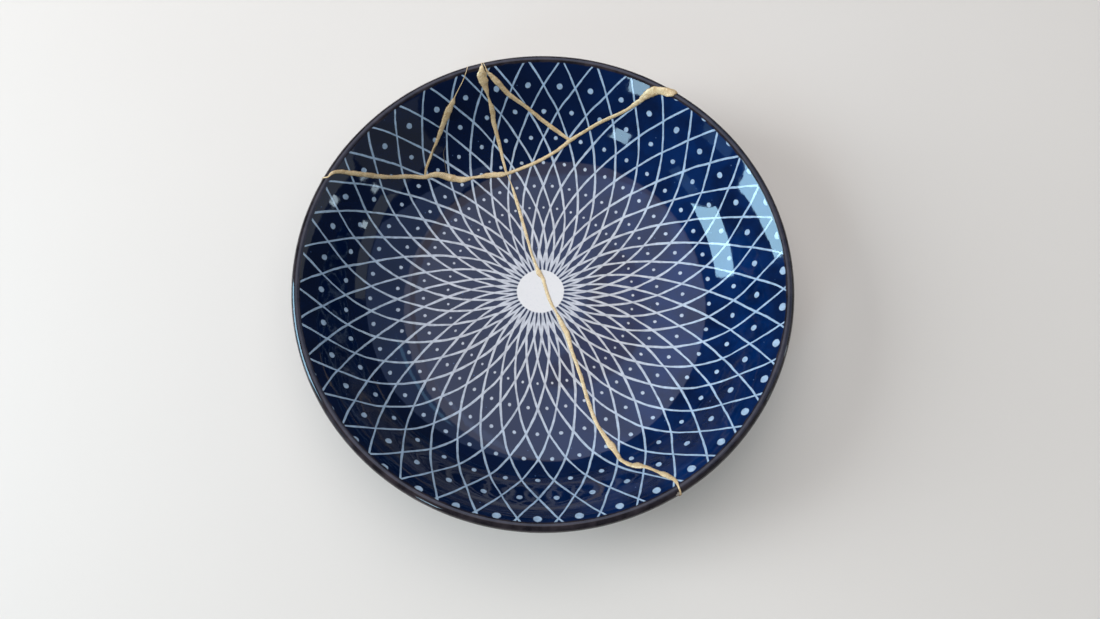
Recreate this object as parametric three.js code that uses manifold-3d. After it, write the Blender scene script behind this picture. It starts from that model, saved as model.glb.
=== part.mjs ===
// A shallow ceramic bowl that broke into six shards and was joined again with gold lacquer.
// Each shard is a solid of its own. The lacquer is one branching solid: a thin web that fills
// the breaks through the wall, and a raised bead over them inside, over the lip and outside.
// Millimetres, +Z up, origin on the table plane under the middle of the bowl.

import * as THREE from 'three';
import { mergeVertices } from 'three/addons/utils/BufferGeometryUtils.js';
import Module from 'manifold-3d';

const wasm = await Module();
wasm.setup();

// Driving dimensions of the bowl.
const RIM_RADIUS = 103.7; // outermost point of the lip
const BOWL_HEIGHT = 46; // table to the crest of the lip
const LIP_RADIUS = 2.2; // the lip is half round, and twice this thick
const LIP_SLOPE = THREE.MathUtils.degToRad(45); // steepness of the wall where it meets the lip
const FLOOR_HEIGHT = 12.4; // table to the inside floor
const FLOOR_RADIUS = 38; // the inside floor is flat this far out, then it curves up
const WALL_BEND = 85.4; // the curve up to the wall is drawn towards this radius
const WALL_RUN = 24; // length below the lip over which the wall is nearly straight
const FOOT_RADIUS = 51; // outer edge of the foot ring
const FOOT_WIDTH = 4.6; // breadth of the ring's flat underside
const FOOT_TAPER = 0.8; // the ring widens upwards by this much on each side
const FOOT_FILLET = 1.4; // hollow corner between the ring and the wall
const FOOT_HEIGHT = 7.4; // table to where the wall leaves the ring
const RECESS_HEIGHT = 6.2; // table to the underside of the base, inside the ring
const CHIP_RADIUS = 1.4; // small nick in the lip, where the long break leaves the bowl

// Driving dimensions of the lacquer.
const WEB_THICKNESS = 0.4; // lacquer between two shards
const CLEARANCE = 0.3; // gap between the lacquer and each shard
const BEAD_HEIGHT = 0.6; // bead above the glaze, over the clearance
const LEAST_BEAD = 1.5; // narrowest bead, which still covers the break
const GROUND_CLEARANCE = 0.3; // the lacquer stops this far above the table

// How finely round and curved forms are cut.
const SIDES = 72;
const WALL_STEPS = 9;
const LIP_STEPS = 4;
const BREAK_STEP = 8;

// Routes of the breaks over the plan. Each point is [x, y, width of the bead].
const REACH = RIM_RADIUS + 3; // breaks run a little past the lip, so that they part it
const LONG_BREAK_BEARING = -60;
const LEFT_FORK = [-55.5, 56, 2.8];
const MIDDLE_FORK = [-17.5, 60, 2.2];
const RIGHT_FORK = [12.4, 74.8, 2.6];
const BREAKS = {
  across: [
    pastLip(155.5, 2.2), [-90.5, 45.5, 2.4], [-86, 48, 2.6], [-78, 49.3, 2.4], [-68, 53, 2.2],
    LEFT_FORK, [-48.5, 57.8, 3.6], [-40, 56.3, 2.4], [-30, 58, 2.2], MIDDLE_FORK,
    [-6, 64.4, 2.4], [3, 70, 2.2], RIGHT_FORK, [24, 79.6, 2.2], [37, 82.8, 2],
    [46.5, 86.2, 2.4], [53, 86.4, 3.2], pastLip(56.2, 3.6),
  ],
  upperLeft: [
    pastLip(109.4, 1.5), [-38.6, 89.6, 1.5], [-44.2, 81, 3.2], [-49, 72.5, 1.8],
    [-53.2, 64, 2.2], LEFT_FORK,
  ],
  upperMiddle: [
    pastLip(106.3, 2), [-28.6, 96, 3.4], [-26, 90.5, 1.5], [-23.6, 83, 2.4], MIDDLE_FORK,
  ],
  upperRight: [
    pastLip(105.9, 2), [-24.2, 96.4, 2], [-14.5, 90.4, 2.2], [-3, 84.8, 2], RIGHT_FORK,
  ],
  long: [
    MIDDLE_FORK, [-14, 50, 1.5], [-4, 17, 1.6], [-0.6, 8.6, 1.8], [3.6, -3, 1.5],
    [9.5, -16, 2.2], [13.4, -28.5, 1.6], [19, -45, 1.8], [23.4, -58.5, 2], [31, -73.8, 2.8],
    [36, -77, 2.4], [46, -80.7, 2.2], [50.6, -84, 2.8], pastLip(LONG_BREAK_BEARING, 1.5),
  ],
};

// The shards, each with a point of the plan that only it covers.
const SHARDS = {
  shard_upper_left: [-70, 68],
  shard_upper_sliver: [-36, 78],
  shard_upper_triangle: [-10, 78],
  shard_upper_right: [15, 88],
  shard_large_right: [45, 0],
  shard_large_left: [-45, 0],
};

// A point just outside the lip, at a bearing in degrees from +X.
function pastLip(bearing, width) {
  const angle = THREE.MathUtils.degToRad(bearing);
  return [REACH * Math.cos(angle), REACH * Math.sin(angle), width];
}

// Points along a curve, each moved off it to the left by some distance.
function offsetPoints(curve, distance) {
  return Array.from({ length: WALL_STEPS + 1 }, (_, i) => {
    const along = curve.getTangent(i / WALL_STEPS);
    const left = new THREE.Vector2(-along.y, along.x);
    return curve.getPoint(i / WALL_STEPS).addScaledVector(left, distance);
  });
}

// Half section of the bowl, as (radius, height) points from the floor over the lip to the base.
// Growing it moves every surface outwards by that distance, and so shrinks the hollow.
function bowlSection(grow) {
  const lip = new THREE.Vector2(RIM_RADIUS - LIP_RADIUS, BOWL_HEIGHT - LIP_RADIUS);
  const wallUp = new THREE.Vector2(Math.cos(LIP_SLOPE), Math.sin(LIP_SLOPE));
  const inwards = new THREE.Vector2(-wallUp.y, wallUp.x);
  const innerTop = lip.clone().addScaledVector(inwards, LIP_RADIUS);
  const outerTop = lip.clone().addScaledVector(inwards, -LIP_RADIUS);
  const inside = new THREE.CubicBezierCurve(
    new THREE.Vector2(FLOOR_RADIUS, FLOOR_HEIGHT),
    new THREE.Vector2(WALL_BEND, FLOOR_HEIGHT),
    innerTop.clone().addScaledVector(wallUp, -WALL_RUN),
    innerTop,
  );
  const outside = new THREE.CubicBezierCurve(
    outerTop,
    outerTop.clone().addScaledVector(wallUp, -WALL_RUN),
    new THREE.Vector2(WALL_BEND, FOOT_HEIGHT),
    new THREE.Vector2(FOOT_RADIUS + FOOT_TAPER + FOOT_FILLET, FOOT_HEIGHT),
  );
  const lipArc = Array.from({ length: LIP_STEPS - 1 }, (_, i) => {
    const turn = LIP_SLOPE + Math.PI * (0.5 - (i + 1) / LIP_STEPS);
    const radial = new THREE.Vector2(Math.cos(turn), Math.sin(turn));
    return lip.clone().addScaledVector(radial, LIP_RADIUS + grow);
  });
  const footInside = FOOT_RADIUS - FOOT_WIDTH;
  return [
    new THREE.Vector2(0, FLOOR_HEIGHT + grow),
    ...offsetPoints(inside, grow),
    ...lipArc,
    ...offsetPoints(outside, grow),
    new THREE.Vector2(FOOT_RADIUS + FOOT_TAPER + grow, FOOT_HEIGHT - FOOT_FILLET),
    new THREE.Vector2(FOOT_RADIUS + grow, -grow),
    new THREE.Vector2(footInside - grow, -grow),
    new THREE.Vector2(footInside - FOOT_TAPER - grow, RECESS_HEIGHT - grow),
    new THREE.Vector2(0, RECESS_HEIGHT - grow),
  ];
}

// A closed geometry as a solid that can be joined and cut.
function toSolid(geometry) {
  const bare = geometry.clone();
  bare.deleteAttribute('normal');
  bare.deleteAttribute('uv');
  const merged = mergeVertices(bare);
  return new wasm.Manifold(new wasm.Mesh({
    numProp: 3,
    vertProperties: Float32Array.from(merged.attributes.position.array),
    triVerts: Uint32Array.from(merged.index.array),
  }));
}

// The bowl as one unbroken solid, grown by a distance.
function wholeBowl(grow) {
  const geometry = new THREE.LatheGeometry(bowlSection(grow).reverse(), SIDES);
  geometry.rotateX(Math.PI / 2);
  return toSolid(geometry);
}

// An upright wall along a break, taller than the bowl, as broad as breadthAt makes of the widths.
function uprightWall(route, breadthAt) {
  const curve = new THREE.CatmullRomCurve3(route.map((point) => new THREE.Vector3(...point)));
  const steps = Math.round(curve.getLength() / BREAK_STEP);
  const left = [];
  const right = [];
  for (let i = 0; i <= steps; i += 1) {
    const at = curve.getPointAt(i / steps);
    const along = curve.getTangentAt(i / steps);
    const half = new THREE.Vector2(-along.y, along.x).setLength(breadthAt(at.z) / 2);
    left.unshift(new THREE.Vector2(at.x, at.y).add(half));
    right.push(new THREE.Vector2(at.x, at.y).sub(half));
  }
  const outline = new THREE.Shape([...right, ...left]);
  const geometry = new THREE.ExtrudeGeometry(outline, { depth: 2 * BOWL_HEIGHT, bevelEnabled: false });
  geometry.translate(0, 0, -BOWL_HEIGHT / 2);
  return toSolid(geometry);
}

// The walls of all the breaks, joined where they fork.
function breakWalls(breadthAt) {
  return Object.values(BREAKS)
    .map((route) => uprightWall(route, breadthAt))
    .reduce((joined, wall) => joined.add(wall));
}

// A solid as a named mesh.
function toMesh(solid, name, material) {
  const { vertProperties, triVerts } = solid.getMesh();
  const geometry = new THREE.BufferGeometry();
  geometry.setAttribute('position', new THREE.BufferAttribute(vertProperties, 3));
  geometry.setIndex(new THREE.BufferAttribute(triVerts, 1));
  geometry.computeVertexNormals();
  const mesh = new THREE.Mesh(geometry, material);
  mesh.name = name;
  return mesh;
}

// Whether a solid is met by an upright line through a point of the plan.
function coversPoint(solid, [x, y]) {
  const line = new THREE.BoxGeometry(1, 1, 4 * BOWL_HEIGHT).translate(x, y, 0);
  return !solid.intersect(toSolid(line)).isEmpty();
}

// The bowl parted along its breaks, with the nick in its lip.
function makeShards() {
  const [x, y] = pastLip(LONG_BREAK_BEARING, 0);
  const chip = new THREE.SphereGeometry(CHIP_RADIUS, 12, 8);
  chip.translate((x * RIM_RADIUS) / REACH, (y * RIM_RADIUS) / REACH, BOWL_HEIGHT);
  const loose = wholeBowl(0)
    .subtract(toSolid(chip))
    .subtract(breakWalls(() => WEB_THICKNESS + 2 * CLEARANCE))
    .decompose();
  return Object.entries(SHARDS).map(([name, point]) => {
    const glaze = new THREE.MeshStandardMaterial({ color: 0x142a5c, roughness: 0.12 });
    return toMesh(loose.find((solid) => coversPoint(solid, point)), name, glaze);
  });
}

// The lacquer: the beads' network, hollowed where the shards and their clearance are.
function makeLacquer() {
  const shards = wholeBowl(CLEARANCE).subtract(breakWalls(() => WEB_THICKNESS));
  const ground = new THREE.BoxGeometry(3 * RIM_RADIUS, 3 * RIM_RADIUS, BOWL_HEIGHT);
  ground.translate(0, 0, GROUND_CLEARANCE - BOWL_HEIGHT / 2);
  const lacquer = wholeBowl(CLEARANCE + BEAD_HEIGHT)
    .intersect(breakWalls((width) => Math.max(width, LEAST_BEAD)))
    .subtract(shards)
    .subtract(toSolid(ground));
  const gold = new THREE.MeshStandardMaterial({ color: 0xc9a868, roughness: 0.4, metalness: 0.9 });
  return toMesh(lacquer, 'gold_lacquer', gold);
}

const bowl = new THREE.Group();
bowl.add(...makeShards(), makeLacquer());

export default bowl;
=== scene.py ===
"""A shallow blue bowl that broke into six shards and was joined again with gold lacquer.

Everything is in metres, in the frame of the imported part: the bowl stands on z = 0 and its axis
is the z axis. The six shards are cut from one turned bowl along upright breaks. The lacquer is
one branching piece, a thin web in the breaks with brushed beads over them.
"""

import logging
import math
from dataclasses import dataclass, field
from enum import Enum
from typing import Iterable, Sequence, Union

import bmesh
import bpy
import numpy as np
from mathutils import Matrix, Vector


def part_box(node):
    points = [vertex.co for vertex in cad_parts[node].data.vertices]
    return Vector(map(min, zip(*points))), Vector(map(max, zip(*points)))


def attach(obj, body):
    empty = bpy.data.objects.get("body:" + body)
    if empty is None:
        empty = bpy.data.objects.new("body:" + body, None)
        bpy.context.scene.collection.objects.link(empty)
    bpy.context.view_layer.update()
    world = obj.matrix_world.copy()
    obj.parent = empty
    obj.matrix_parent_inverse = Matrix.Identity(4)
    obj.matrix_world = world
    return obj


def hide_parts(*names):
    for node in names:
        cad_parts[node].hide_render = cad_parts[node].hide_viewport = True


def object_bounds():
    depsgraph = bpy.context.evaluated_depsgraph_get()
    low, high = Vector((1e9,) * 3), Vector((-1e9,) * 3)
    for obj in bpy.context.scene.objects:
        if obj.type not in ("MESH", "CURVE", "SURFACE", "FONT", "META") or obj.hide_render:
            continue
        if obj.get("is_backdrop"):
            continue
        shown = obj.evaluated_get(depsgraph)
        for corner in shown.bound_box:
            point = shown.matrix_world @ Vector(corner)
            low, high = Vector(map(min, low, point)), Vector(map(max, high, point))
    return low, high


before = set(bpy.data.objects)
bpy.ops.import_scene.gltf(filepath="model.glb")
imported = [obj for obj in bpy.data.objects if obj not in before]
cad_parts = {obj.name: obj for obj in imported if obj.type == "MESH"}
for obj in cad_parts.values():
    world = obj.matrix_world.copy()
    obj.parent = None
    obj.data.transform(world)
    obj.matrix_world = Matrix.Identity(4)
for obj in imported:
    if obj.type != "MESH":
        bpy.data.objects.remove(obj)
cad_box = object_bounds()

log = logging.getLogger("mended_bowl")

MM = 0.001
SHARD_NODES = (
    "shard_upper_left",
    "shard_upper_sliver",
    "shard_upper_triangle",
    "shard_upper_right",
    "shard_large_right",
    "shard_large_left",
)
GOLD_NODE = "gold_lacquer"

Value = Union[float, int, bool, tuple, bpy.types.NodeSocket]
RoutePoint = tuple[float, float, float]


class Slot(Enum):
    """The part's finishes, as its record names them."""

    GLAZE = "glaze"
    GOLD = "gold"


class Side(Enum):
    """Which surface of the bowl a bead lies on."""

    UPPER = "upper"
    LOWER = "lower"


class Join(Enum):
    """How two closed meshes are combined."""

    UNION = "UNION"
    CUT = "DIFFERENCE"
    SHARE = "INTERSECT"


class Graph:
    """Adds nodes to one node tree and joins them."""

    def __init__(self, tree: bpy.types.NodeTree) -> None:
        """Start on a tree, with whatever it already holds.

        Args:
            tree: The shader or geometry node tree to add to.
        """
        self.tree = tree

    def feed(self, socket: bpy.types.NodeSocket, value: Value) -> None:
        """Link a socket to an input, or set the input's own value.

        Args:
            socket: The input to feed.
            value: Another node's output, or a plain value.
        """
        if isinstance(value, bpy.types.NodeSocket):
            self.tree.links.new(value, socket)
        else:
            socket.default_value = value

    def add(self, kind: str, inputs: dict[Union[str, int], Value] | None = None,
            **settings: object) -> bpy.types.Node:
        """Add one node.

        Args:
            kind: The node's type name.
            inputs: What its inputs are fed, by name or number.
            settings: The node's own settings.

        Returns:
            The new node.
        """
        node = self.tree.nodes.new(kind)
        for name, value in settings.items():
            setattr(node, name, value)
        for key, value in (inputs or {}).items():
            self.feed(node.inputs[key], value)
        return node

    def math(self, operation: str, *values: Value, clamp: bool = False) -> bpy.types.NodeSocket:
        """Add one Math node.

        Args:
            operation: What it does, such as "ADD".
            values: Its inputs in order.
            clamp: Whether the result is kept between 0 and 1.

        Returns:
            The result.
        """
        node = self.add("ShaderNodeMath", dict(enumerate(values)), operation=operation,
                        use_clamp=clamp)
        return node.outputs[0]

    def vector(self, operation: str, *values: Value) -> bpy.types.NodeSocket:
        """Add one Vector Math node.

        Args:
            operation: What it does, such as "CROSS_PRODUCT".
            values: Its vector inputs in order.

        Returns:
            The result, a number for a length or a dot product.
        """
        node = self.add("ShaderNodeVectorMath", dict(enumerate(values)), operation=operation)
        return node.outputs["Value" if operation in ("LENGTH", "DOT_PRODUCT") else "Vector"]

    def scaled(self, vector: Value, factor: Value) -> bpy.types.NodeSocket:
        """Multiply a vector by a number."""
        node = self.add("ShaderNodeVectorMath", {0: vector, "Scale": factor}, operation="SCALE")
        return node.outputs["Vector"]

    def total(self, *values: Value) -> bpy.types.NodeSocket:
        """Add up several numbers."""
        result = values[0]
        for value in values[1:]:
            result = self.math("ADD", result, value)
        return result

    def axes(self, vector: Value) -> tuple[bpy.types.NodeSocket, ...]:
        """Split a vector into its x, y and z."""
        return tuple(self.add("ShaderNodeSeparateXYZ", {0: vector}).outputs)

    def point(self, x: Value, y: Value, z: Value) -> bpy.types.NodeSocket:
        """Join x, y and z into a vector."""
        return self.add("ShaderNodeCombineXYZ", {0: x, 1: y, 2: z}).outputs[0]

    def ramp(self, value: Value, start: Value, end: Value, low: Value = 0.0,
             high: Value = 1.0, smooth: bool = True) -> bpy.types.NodeSocket:
        """Map a number from one range to another, and keep it inside.

        Args:
            value: The number.
            start: Where the result is low.
            end: Where the result is high.
            low: The result at start.
            high: The result at end.
            smooth: Whether the result eases in and out.

        Returns:
            The mapped number.
        """
        kind = "SMOOTHSTEP" if smooth else "LINEAR"
        node = self.add("ShaderNodeMapRange", {0: value, 1: start, 2: end, 3: low, 4: high},
                        interpolation_type=kind, clamp=True)
        return node.outputs[0]

    def noise(self, vector: Value, scale: float, detail: float = 2.0,
              rough: float = 0.5) -> bpy.types.NodeSocket:
        """Add a noise of a given fineness, about 0.5 on average."""
        node = self.add("ShaderNodeTexNoise", {"Vector": vector, "Scale": scale,
                                               "Detail": detail, "Roughness": rough})
        return node.outputs[0]

    def blend(self, factor: Value, first: Value, second: Value) -> bpy.types.NodeSocket:
        """Mix two colours, the second taking over as the factor goes to 1."""
        node = self.add("ShaderNodeMix", {0: factor, 6: first, 7: second}, data_type="RGBA")
        return node.outputs[2]

    def curve(self, value: Value, points: Sequence[tuple[float, float]]) -> bpy.types.NodeSocket:
        """Map a number through a smooth curve.

        Args:
            value: The number, from 0 to 1.
            points: The curve's points, each from 0 to 1 both ways.

        Returns:
            The curve's height there.
        """
        node = self.add("ShaderNodeFloatCurve", {"Value": value})
        line = node.mapping.curves[0]
        line.points[0].location = points[0]
        line.points[1].location = points[-1]
        for point in points[1:-1]:
            line.points.new(*point)
        node.mapping.update()
        return node.outputs[0]


def rgba(red: float, green: float, blue: float) -> tuple[float, float, float, float]:
    """An opaque colour, in linear light."""
    return (red, green, blue, 1.0)


def arc(centre: tuple[float, float], radius: float, start: float, end: float,
        steps: int) -> list[tuple[float, float]]:
    """Points along a circular arc of the section.

    Args:
        centre: Its centre, as (radius, height).
        radius: Its radius.
        start: Bearing of its first point, in radians.
        end: Bearing of its last point.
        steps: How many parts it is cut into.

    Returns:
        The points, both ends among them.
    """
    turns = (start + (end - start) * i / steps for i in range(steps + 1))
    return [(centre[0] + radius * math.cos(t), centre[1] + radius * math.sin(t)) for t in turns]


def bezier(a: Sequence[float], b: Sequence[float], c: Sequence[float], d: Sequence[float],
           steps: int) -> list[tuple[float, float]]:
    """Points along a cubic curve from a to d, drawn towards b and then c."""
    points = []
    for i in range(steps + 1):
        t = i / steps
        weights = ((1 - t) ** 3, 3 * t * (1 - t) ** 2, 3 * t * t * (1 - t), t ** 3)
        points.append(tuple(sum(w * p[k] for w, p in zip(weights, (a, b, c, d)))
                            for k in (0, 1)))
    return points


@dataclass(frozen=True)
class BowlSection:
    """The bowl's half section, from the middle of its floor over the lip to the recess below."""

    rim_radius: float
    height: float
    lip_radius: float = 2.2 * MM
    lip_slope: float = math.radians(45)
    floor_height: float = 12.4 * MM
    floor_radius: float = 38 * MM
    wall_bend: float = 85.4 * MM
    wall_run: float = 24 * MM
    foot_radius: float = 51 * MM
    foot_width: float = 4.6 * MM
    foot_taper: float = 0.8 * MM
    foot_fillet: float = 1.4 * MM
    foot_height: float = 7.4 * MM
    foot_round: float = 0.6 * MM
    recess_height: float = 6.2 * MM

    @classmethod
    def from_frame(cls) -> "BowlSection":
        """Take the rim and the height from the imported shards.

        Returns:
            The section of the bowl that the shards make together.
        """
        boxes = [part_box(node) for node in SHARD_NODES]
        reach = max(high.x for _, high in boxes)
        return cls(rim_radius=reach, height=max(high.z for _, high in boxes))

    def upper(self) -> list[tuple[float, float]]:
        """Points from the middle of the inside floor out to the lip's outermost point."""
        lip, inner, _, up = self._lip()
        floor = [(self.floor_radius * i / 10, self.floor_height) for i in range(10)]
        wall = bezier((self.floor_radius, self.floor_height),
                      (self.wall_bend, self.floor_height),
                      (inner[0] - self.wall_run * up[0], inner[1] - self.wall_run * up[1]),
                      inner, 56)
        crest = arc(lip, self.lip_radius, self.lip_slope + math.pi / 2, 0.0, 14)
        return floor + wall + crest[1:]

    def lower(self) -> list[tuple[float, float]]:
        """Points from the lip's outermost point down the outside to the recess's middle."""
        lip, _, outer, up = self._lip()
        edge = arc(lip, self.lip_radius, 0.0, self.lip_slope - math.pi / 2, 5)
        wall = bezier(outer,
                      (outer[0] - self.wall_run * up[0], outer[1] - self.wall_run * up[1]),
                      (self.wall_bend, self.foot_height),
                      (self.foot_outer + self.foot_fillet, self.foot_height), 44)
        corner = arc((self.foot_outer + self.foot_fillet, self.foot_height - self.foot_fillet),
                     self.foot_fillet, math.pi / 2, math.pi, 5)
        turn = self.foot_round
        inside = self.foot_radius - self.foot_width
        ring = arc((self.foot_radius - turn, turn), turn, 0.0, -math.pi / 2, 4)
        ring += arc((inside + turn, turn), turn, -math.pi / 2, -math.pi, 4)
        root = inside - self.foot_taper
        hollow = arc((root - turn, self.recess_height - turn), turn, 0.0, math.pi / 2, 4)
        recess = [(hollow[-1][0] * (7 - i) / 8, self.recess_height) for i in range(8)]
        return edge + wall[1:] + corner[1:] + ring + hollow + recess

    @property
    def foot_outer(self) -> float:
        """Radius of the foot ring's outer side where it meets the wall."""
        return self.foot_radius + self.foot_taper

    def _lip(self) -> tuple[tuple[float, float], ...]:
        """The lip's centre, where the inside and the outside meet it, and the wall's direction."""
        lip = (self.rim_radius - self.lip_radius, self.height - self.lip_radius)
        up = (math.cos(self.lip_slope), math.sin(self.lip_slope))
        inner = (lip[0] - self.lip_radius * up[1], lip[1] + self.lip_radius * up[0])
        outer = (lip[0] + self.lip_radius * up[1], lip[1] - self.lip_radius * up[0])
        return lip, inner, outer, up

    def surface(self, side: Side) -> tuple[np.ndarray, np.ndarray]:
        """One surface as points and outward normals of the section, in order of radius.

        Args:
            side: Which surface.

        Returns:
            The points and the normals, each as rows of (radius, height).
        """
        points = np.array(self.upper() if side is Side.UPPER else self.lower()[::-1])
        along = np.gradient(points, axis=0)
        normals = np.stack([-along[:, 1], along[:, 0]], 1)
        if side is Side.LOWER:
            normals = -normals
        lengths = np.maximum(np.linalg.norm(normals, axis=1, keepdims=True), 1e-12)
        return points, normals / lengths


@dataclass(frozen=True)
class Break:
    """One break, as a route over the plan with the breadth of the bead that hides it.

    Each point is (x, y, breadth) in millimetres. The routes follow the part's to about a
    millimetre, and carry the lacquer's swellings besides.
    """

    name: str
    route: tuple[RoutePoint, ...]
    under: tuple[float, float] = (1.6, 2.2)

    def plan(self, step: float = 0.02) -> np.ndarray:
        """The route as a smooth line.

        Args:
            step: Distance between its points, in millimetres.

        Returns:
            Rows of x, y and bead breadth, in metres.
        """
        ends = [2 * np.array(self.route[0]) - np.array(self.route[1]),
                2 * np.array(self.route[-1]) - np.array(self.route[-2])]
        knots = np.array([ends[0], *self.route, ends[1]], float)
        rows = []
        for before, start, end, after in zip(knots, knots[1:], knots[2:], knots[3:]):
            count = max(2, round(np.linalg.norm(end[:2] - start[:2]) / step))
            rows.append(self._span(before, start, end, after, np.arange(count) / count))
        rows.append(knots[-2][None])
        return np.concatenate(rows) * MM

    @staticmethod
    def _span(before: np.ndarray, start: np.ndarray, end: np.ndarray, after: np.ndarray,
              shares: np.ndarray) -> np.ndarray:
        """A centripetal Catmull-Rom span, with its breadth eased from end to end."""
        gaps = [max(np.linalg.norm(b[:2] - a[:2]), 1e-6) ** 0.5
                for a, b in ((before, start), (start, end), (end, after))]
        leave = ((start - before) / gaps[0] - (end - before) / (gaps[0] + gaps[1])
                 + (end - start) / gaps[1]) * gaps[1]
        arrive = ((end - start) / gaps[1] - (after - start) / (gaps[1] + gaps[2])
                  + (after - end) / gaps[2]) * gaps[1]
        t = shares[:, None]
        line = ((2 * t ** 3 - 3 * t ** 2 + 1) * start + (t ** 3 - 2 * t ** 2 + t) * leave
                + (3 * t ** 2 - 2 * t ** 3) * end + (t ** 3 - t ** 2) * arrive)
        ease = t[:, 0] ** 2 * (3 - 2 * t[:, 0])
        line[:, 2] = start[2] + (end[2] - start[2]) * ease
        return line


REACH = 106.7  # millimetres; the breaks run a little past the lip, so that they part it


def past_lip(bearing: float, breadth: float) -> RoutePoint:
    """A route point just outside the lip, at a bearing in degrees from +X."""
    angle = math.radians(bearing)
    return (REACH * math.cos(angle), REACH * math.sin(angle), breadth)


LEFT_FORK = (-55, 55)
MIDDLE_FORK = (-17.5, 60)
RIGHT_FORK = (12.5, 75)

ACROSS = Break("across", (
    past_lip(156, 0.6), (-92.5, 42, 0.7), (-90.5, 44, 1.3), (-88, 45.5, 1.8), (-82.5, 47, 2.2),
    (-77.5, 48.5, 2.3), (-69.5, 51, 1.8), (-62.5, 53.5, 2), (*LEFT_FORK, 1.9),
    (-51.5, 56.5, 2.3), (-48.5, 57, 2.9), (-44, 56.5, 3.5), (-39, 56, 2.8), (-32.5, 57.5, 1.4),
    (-24.5, 59, 2.8), (-20, 59.5, 2.5), (*MIDDLE_FORK, 1.6), (-13.5, 61.5, 1.5),
    (-4, 65.5, 1.7), (5.5, 70.5, 1.5), (*RIGHT_FORK, 2), (16.5, 77, 1.5), (26, 80.5, 1.7),
    (37.5, 82.5, 1.5), (42.5, 84, 2.2), (48, 86, 4.3), (52, 85.5, 3.3), (56, 84.5, 4.1),
    past_lip(55.5, 2),
))
UPPER_LEFT = Break("upper_left", (
    past_lip(108.5, 0.4), (-35, 94, 0.3), (-40, 86, 0.4), (-41.5, 83.5, 2.3), (-43.5, 80.5, 3.4),
    (-46, 76, 2.6), (-49.5, 69, 1.5), (-54, 59.5, 1.2), (*LEFT_FORK, 1.1),
))
UPPER_MIDDLE = Break("upper_middle", (
    past_lip(106, 0.3), (-28, 98, 0.5), (-28, 96.5, 1.9), (-28, 94.5, 4.5), (-27.5, 92.5, 4.3),
    (-26.5, 90.5, 2.5), (-25.5, 88, 0.9), (-24, 84.5, 2.5), (-23.5, 81, 2.1), (-21, 73, 1.6),
    (-19, 65, 1.3), (*MIDDLE_FORK, 1.2),
))
UPPER_RIGHT = Break("upper_right", (
    past_lip(105.7, 0.3), (-26.5, 97, 0.3), (-25.5, 95.5, 1.1), (-24, 94.5, 2.2),
    (-21.5, 93, 2.6), (-16.5, 90, 2.2), (-8, 86.5, 1.8), (-0.5, 82.5, 1.9), (4, 80, 2.1),
    (*RIGHT_FORK, 1.4),
))
LONG = Break("long", (
    (*MIDDLE_FORK, 0.3), (-15.5, 55.5, 0.5), (-14.5, 52.5, 1.2), (-12.5, 46, 1.6),
    (-9, 33.5, 1.4), (-5.5, 20.5, 1.2), (-3.5, 15, 1.3), (-2, 11, 2.6), (-0.5, 9, 1.6),
    (1.5, 2, 1.5), (3.5, -3.5, 1.4), (5.5, -7, 1.1), (8.5, -13.5, 2.2), (10.5, -17.5, 2.4),
    (12.5, -25, 1.6), (16.5, -37, 1.6), (19.5, -48, 1.7), (23, -58, 1.6), (27, -65, 2.1),
    (28.5, -67.5, 3.2), (30.5, -71, 2), (32, -74, 1.7), (35.5, -76.5, 2), (38, -77, 3.2),
    (41.5, -78, 1.7), (44, -79.5, 1.3), (48, -82, 2.6), (50.5, -84, 1.6), (51.5, -87, 0.8),
    past_lip(-60, 0.5),
), under=(1.4, 1.9))
BREAKS = (ACROSS, UPPER_LEFT, UPPER_MIDDLE, UPPER_RIGHT, LONG)
HAIRLINE = Break("hairline", (
    (-45.5, 69, 0.15), (-46.5, 66, 0.3), (-46, 62.5, 0.35), (-45.5, 58.5, 0.3),
))
PLAN_POINTS = {
    "shard_upper_left": (-70, 68),
    "shard_upper_sliver": (-36, 78),
    "shard_upper_triangle": (-10, 78),
    "shard_upper_right": (15, 88),
    "shard_large_right": (45, 0),
    "shard_large_left": (-45, 0),
}


def chain_mesh(name: str, points: np.ndarray) -> bpy.types.Mesh:
    """An open chain of edges through points.

    Args:
        name: The mesh's name.
        points: Rows of x, y and z.

    Returns:
        The new mesh.
    """
    mesh = bpy.data.meshes.new(name)
    edges = [(i, i + 1) for i in range(len(points) - 1)]
    mesh.from_pydata([tuple(p) for p in points], edges, [])
    return mesh


def run_tree(source: bpy.types.Mesh, tree: bpy.types.NodeTree,
             sizes: dict[str, Value]) -> bpy.types.Mesh:
    """Run a geometry node tree on a mesh, and keep what it makes as a plain mesh.

    Args:
        source: The mesh that the tree starts from.
        tree: The tree.
        sizes: Its named inputs.

    Returns:
        The mesh that it made, with outward faces.
    """
    holder = bpy.data.objects.new(source.name, source)
    bpy.context.scene.collection.objects.link(holder)
    modifier = holder.modifiers.new("shape", "NODES")
    modifier.node_group = tree
    for item in tree.interface.items_tree:
        if item.in_out == "INPUT" and item.name in sizes:
            modifier[item.identifier] = sizes[item.name]
    made = evaluated(holder)
    face_outwards(made)
    return made


def evaluated(holder: bpy.types.Object) -> bpy.types.Mesh:
    """Take an object's finished mesh, and clear the object away with its modifiers."""
    bpy.context.view_layer.update()
    graph = bpy.context.evaluated_depsgraph_get()
    made = bpy.data.meshes.new_from_object(holder.evaluated_get(graph))
    bpy.data.objects.remove(holder)
    return made


def face_outwards(mesh: bpy.types.Mesh) -> None:
    """Turn a closed mesh's faces outwards."""
    shape = bmesh.new()
    shape.from_mesh(mesh)
    bmesh.ops.recalc_face_normals(shape, faces=shape.faces[:])
    shape.to_mesh(mesh)
    shape.free()


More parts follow.
